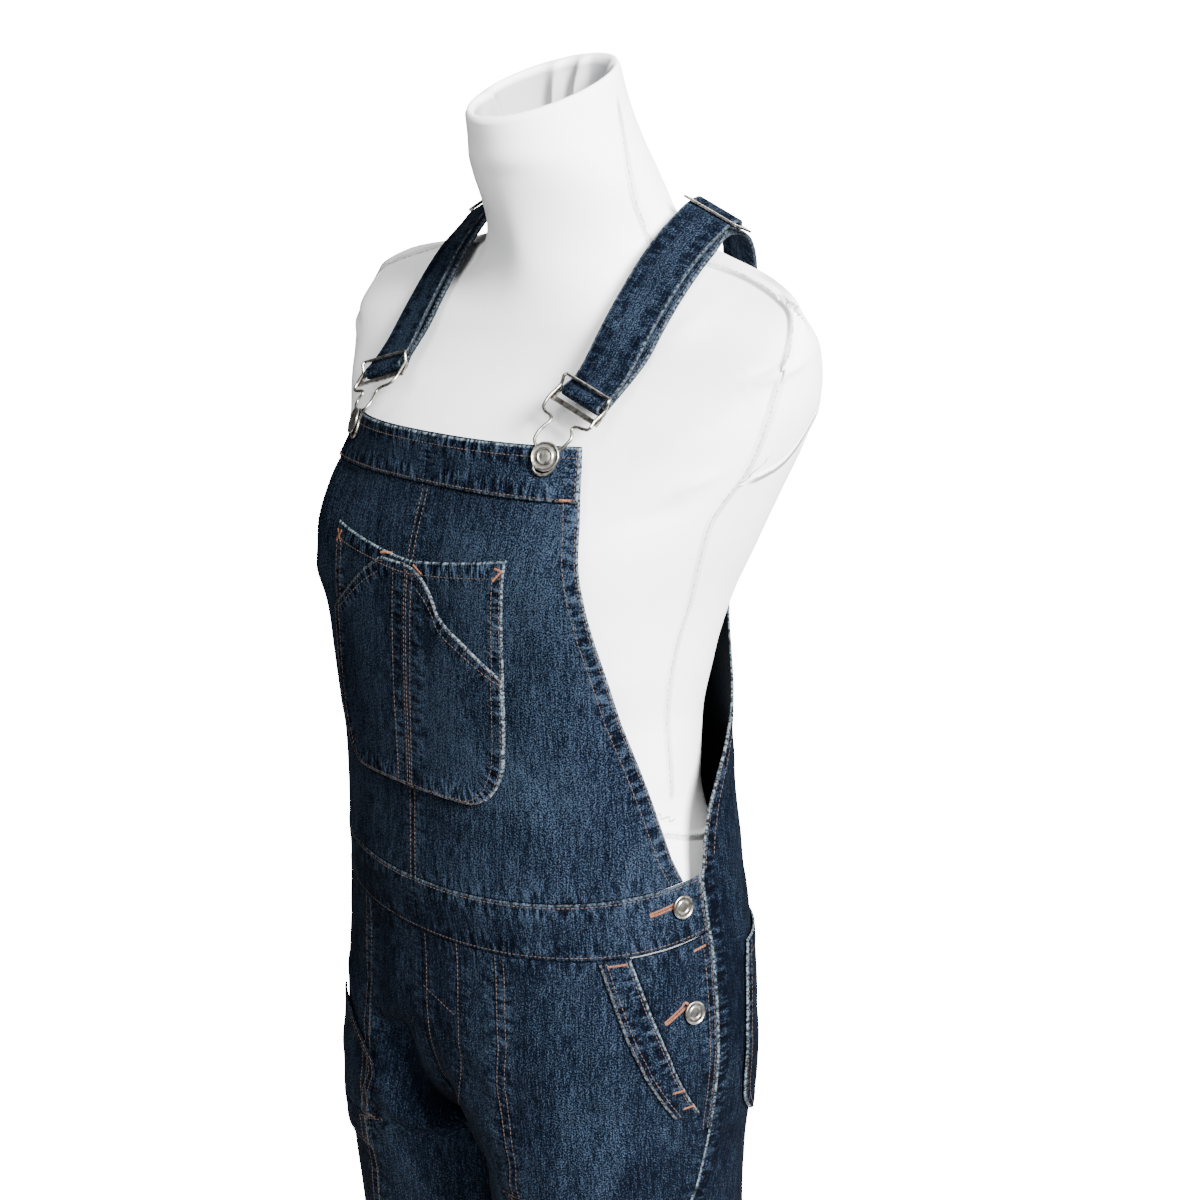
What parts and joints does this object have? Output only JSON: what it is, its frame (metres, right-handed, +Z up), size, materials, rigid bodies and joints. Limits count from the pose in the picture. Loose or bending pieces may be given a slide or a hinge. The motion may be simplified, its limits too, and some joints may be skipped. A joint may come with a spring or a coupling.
{
  "type": "bib overalls on a dress form",
  "caption": "Denim bib overalls with hook buckle straps, patch and slanted pockets, worn on a smooth limbless dress form on a round stand.",
  "frame": {"origin": "on the floor under the centre of the stand's round base", "axes": "+Z up along the legs and body, -Y out of the front of the bib, +X towards the wearer's left"},
  "size_m": [0.42, 0.38, 1.5419],
  "materials": {
    "denim": "washed twill",
    "nickel": "antique brushed",
    "jersey": "plain knit cover",
    "steel": "satin"
  },
  "bodies": {
    "root": {"back_left": "denim", "back_pocket_left": "denim", "back_pocket_right": "denim", "back_right": "denim", "bib_band_left": "denim", "bib_band_right": "denim", "bib_button_left": "nickel", "bib_button_right": "nickel", "bib_left": "denim", "bib_pocket": "denim", "bib_right": "denim", "buckle_left": "nickel", "buckle_right": "nickel", "dress_form": "jersey", "front_inner_left": "denim", "front_inner_right": "denim", "front_outer_left": "denim", "front_outer_right": "denim", "hook_left": "nickel", "hook_right": "nickel", "pocket_band_left": "denim", "pocket_band_right": "denim", "pocket_side_left": "denim", "pocket_side_right": "denim", "side_button_lower_left": "nickel", "side_button_lower_right": "nickel", "side_button_upper_left": "nickel", "side_button_upper_right": "nickel", "slider_left": "nickel", "slider_right": "nickel", "stand_base": "steel", "stand_pole": "steel", "strap_left": "denim", "strap_right": "denim", "thigh_pocket_right": "denim", "tool_pocket_left": "denim", "tool_pocket_right": "denim", "waistband_front_left": "denim", "waistband_front_right": "denim"}
  },
  "joints": []
}
